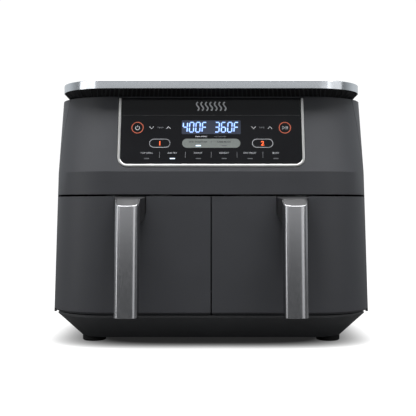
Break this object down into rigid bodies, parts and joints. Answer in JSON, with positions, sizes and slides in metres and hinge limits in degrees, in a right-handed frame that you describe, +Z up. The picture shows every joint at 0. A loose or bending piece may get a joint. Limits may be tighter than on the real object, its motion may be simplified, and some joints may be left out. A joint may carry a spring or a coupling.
{
  "type": "air fryer",
  "caption": "Countertop air fryer with side-by-side drawer baskets, upright steel-faced handles, a sloping touch panel and fan-heated cavities.",
  "frame": {"origin": "on the worktop, under the centre of the whole object's footprint, handles and rear spacers included", "axes": "+X to the right seen from the front, +Y from the front towards the rear, +Z up"},
  "size_m": [0.3922, 0.352, 0.316],
  "materials": {
    "charcoal_plastic": "fine satin, dark grey",
    "black_plastic": "satin",
    "gloss_lens": "high gloss, printed from behind",
    "brushed_steel": "brushed along its length",
    "bright_trim": "polished",
    "grey_plastic": "satin",
    "sheet_steel": "plain rolled sheet",
    "nonstick_coating": "smooth dark ceramic coating",
    "circuit_board": "solder mask",
    "rubber": "matt"
  },
  "bodies": {
    "housing": {"base_pan": "black_plastic", "foot_front_left": "rubber", "foot_front_right": "rubber", "foot_rear_left": "rubber", "foot_rear_right": "rubber", "front_fascia": "charcoal_plastic", "side_panel_left": "charcoal_plastic", "side_panel_right": "charcoal_plastic", "rear_cover": "black_plastic", "cord_gland": "rubber", "louvre_ring": "black_plastic", "lid_trim": "brushed_steel", "lid_panel": "black_plastic", "panel_bezel": "bright_trim", "panel_lens": "gloss_lens", "control_board": "circuit_board", "motor_deck": "sheet_steel", "power_board": "circuit_board", "cavity_liner_1": "sheet_steel", "drawer_switch_1": "black_plastic", "temperature_probe_1": "sheet_steel", "fan_guard_1": "sheet_steel", "heat_dome_1": "sheet_steel", "heating_element_1": "sheet_steel", "motor_1": "sheet_steel", "cavity_liner_2": "sheet_steel", "drawer_switch_2": "black_plastic", "temperature_probe_2": "sheet_steel", "fan_guard_2": "sheet_steel", "heat_dome_2": "sheet_steel", "heating_element_2": "sheet_steel", "motor_2": "sheet_steel"},
    "drawer_1": {"drawer_front_1": "charcoal_plastic", "drawer_panel_1": "black_plastic", "basket_1": "nonstick_coating", "handle_core_1": "black_plastic", "handle_cover_1": "brushed_steel", "handle_cap_1": "grey_plastic"},
    "plate_1": {"crisper_plate_1": "nonstick_coating", "bumper_1_front_left": "rubber", "bumper_1_front_right": "rubber", "bumper_1_rear_left": "rubber", "bumper_1_rear_right": "rubber"},
    "rotor_1": {"motor_shaft_1": "sheet_steel", "convection_fan_1": "sheet_steel", "cooling_fan_1": "black_plastic"},
    "drawer_2": {"drawer_front_2": "charcoal_plastic", "drawer_panel_2": "black_plastic", "basket_2": "nonstick_coating", "handle_core_2": "black_plastic", "handle_cover_2": "brushed_steel", "handle_cap_2": "grey_plastic"},
    "plate_2": {"crisper_plate_2": "nonstick_coating", "bumper_2_front_left": "rubber", "bumper_2_front_right": "rubber", "bumper_2_rear_left": "rubber", "bumper_2_rear_right": "rubber"},
    "rotor_2": {"motor_shaft_2": "sheet_steel", "convection_fan_2": "sheet_steel", "cooling_fan_2": "black_plastic"}
  },
  "joints": [
    {"name": "drawer_1_slide", "type": "slide", "parent": "housing", "child": "drawer_1", "axis": [0, -1, 0], "range_m": [0, 0.2]},
    {"name": "plate_1_lift", "type": "slide", "parent": "drawer_1", "child": "plate_1", "axis": [0, 0, 1], "range_m": [0, 0.08]},
    {"name": "fan_1_spin", "type": "hinge", "parent": "housing", "child": "rotor_1", "pos_m": [-0.09195, 0.0231, 0.24], "axis": [0, 0, 1], "continuous": true},
    {"name": "drawer_2_slide", "type": "slide", "parent": "housing", "child": "drawer_2", "axis": [0, -1, 0], "range_m": [0, 0.2]},
    {"name": "plate_2_lift", "type": "slide", "parent": "drawer_2", "child": "plate_2", "axis": [0, 0, 1], "range_m": [0, 0.08]},
    {"name": "fan_2_spin", "type": "hinge", "parent": "housing", "child": "rotor_2", "pos_m": [0.09195, 0.0231, 0.24], "axis": [0, 0, 1], "continuous": true}
  ]
}
